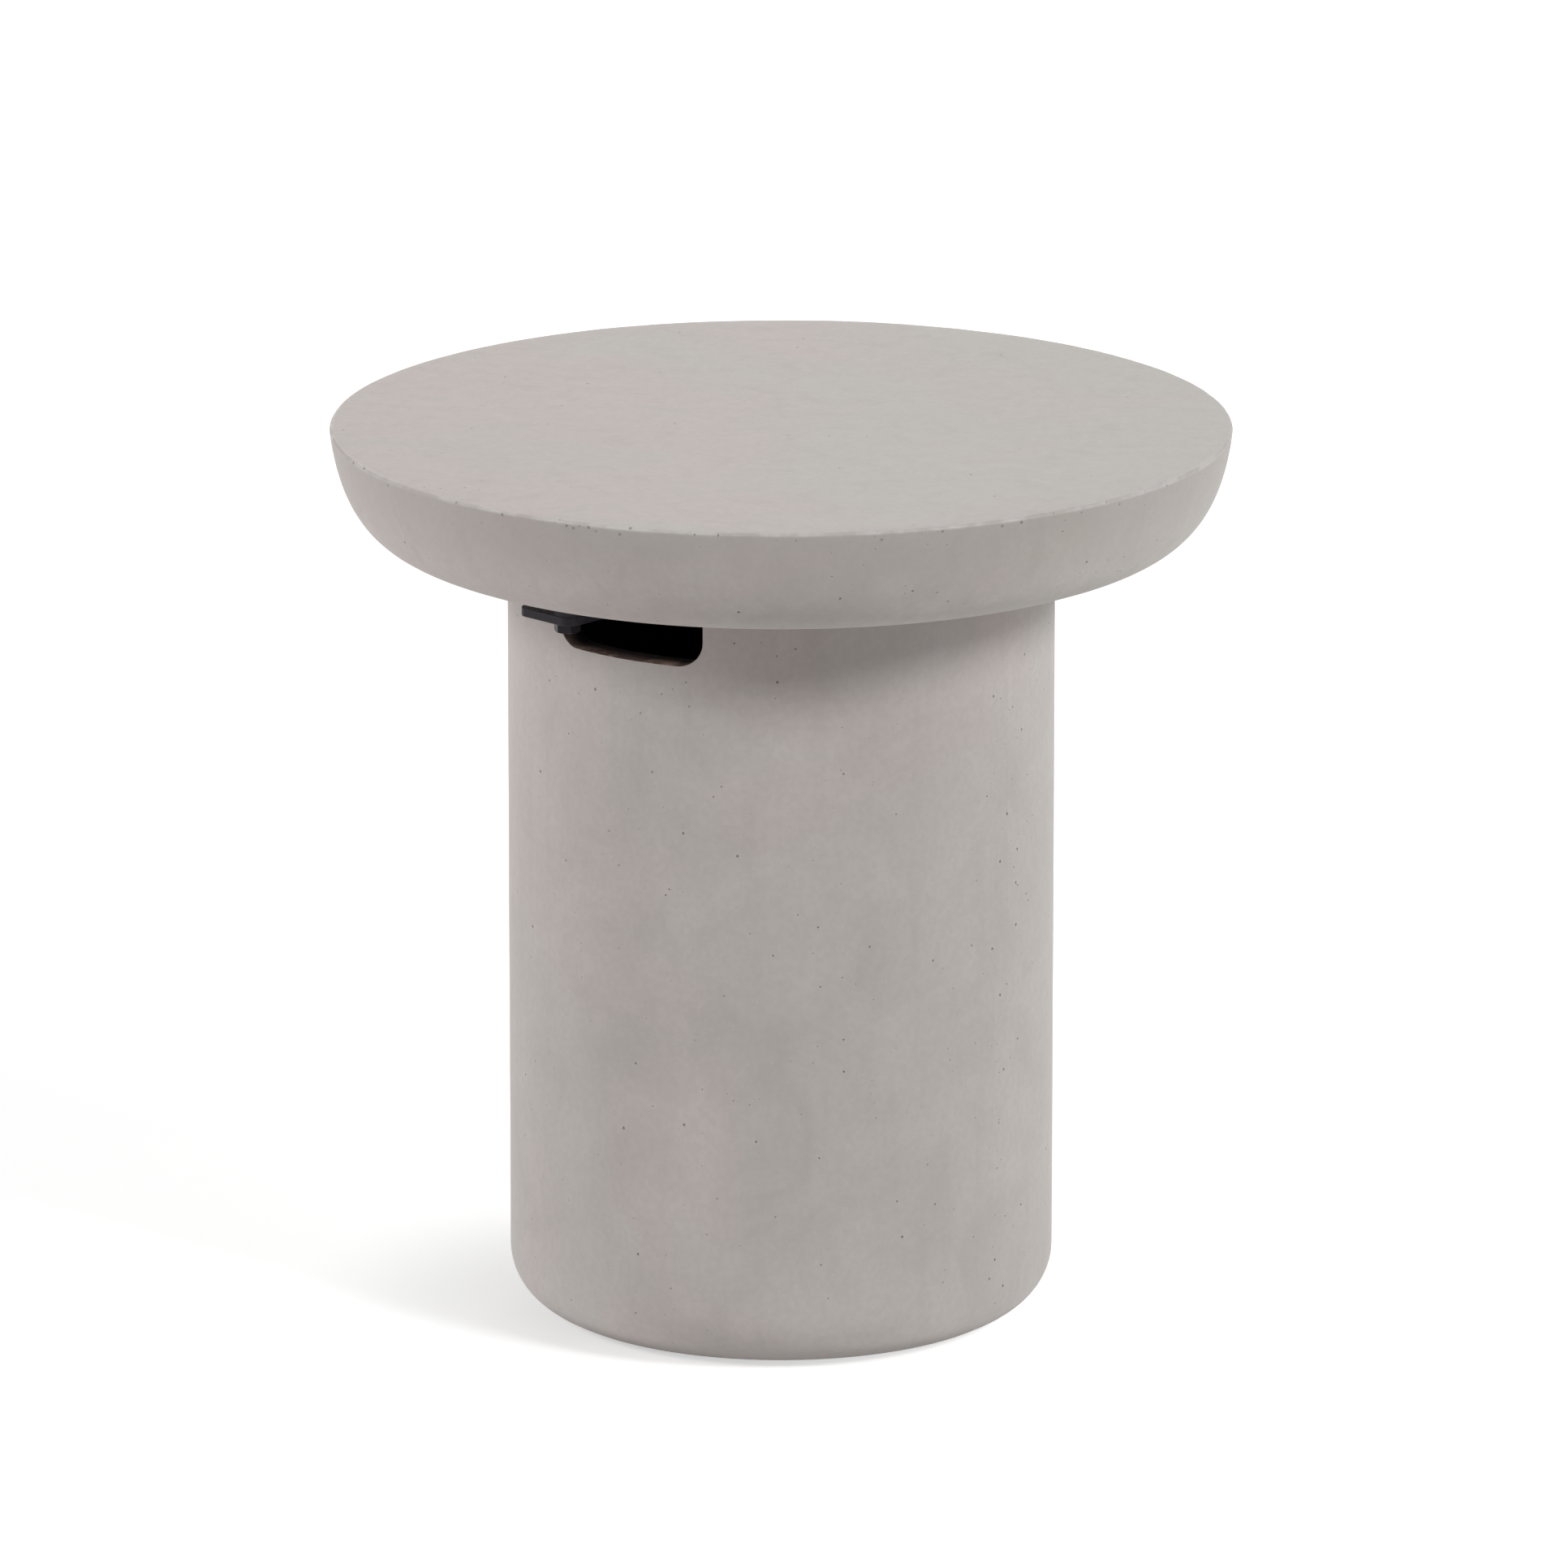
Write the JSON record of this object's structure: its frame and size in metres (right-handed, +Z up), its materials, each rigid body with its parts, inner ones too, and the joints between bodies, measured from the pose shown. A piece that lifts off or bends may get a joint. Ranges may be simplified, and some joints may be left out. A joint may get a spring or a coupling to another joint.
{
  "type": "concrete side table",
  "caption": "Round concrete side table: a thick dish-shaped top on a hollow pedestal with a rounded foot, held by a steel bar through the finger slots under the top.",
  "frame": {"origin": "on the floor at the table's centre, on the axis of the round top and pedestal", "axes": "+Z up; the grip slots face -Y and +Y; the mould seams of the pedestal lie at -X and +X"},
  "size_m": [0.5, 0.5, 0.505],
  "materials": {
    "tabletop_concrete": "trowelled fibre concrete, mottled warm grey, sealed matt",
    "pedestal_concrete": "mould-smooth fibre concrete with pinholes, warm grey, sealed matt",
    "bar_paint": "black powder coat, satin",
    "zinc_steel": "zinc-plated steel",
    "insert_brass": "turned brass",
    "gasket_rubber": "matt black sheet rubber",
    "glide_rubber": "matt dark rubber"
  },
  "bodies": {
    "root": {"tabletop": "tabletop_concrete", "pedestal": "pedestal_concrete", "clamp_bar": "bar_paint", "clamp_bolts": "zinc_steel", "spring_washers": "zinc_steel", "bolt_washers": "zinc_steel", "spacer_sleeves": "zinc_steel", "threaded_inserts": "insert_brass", "rim_gasket": "gasket_rubber", "foot_glides": "glide_rubber"}
  },
  "joints": []
}
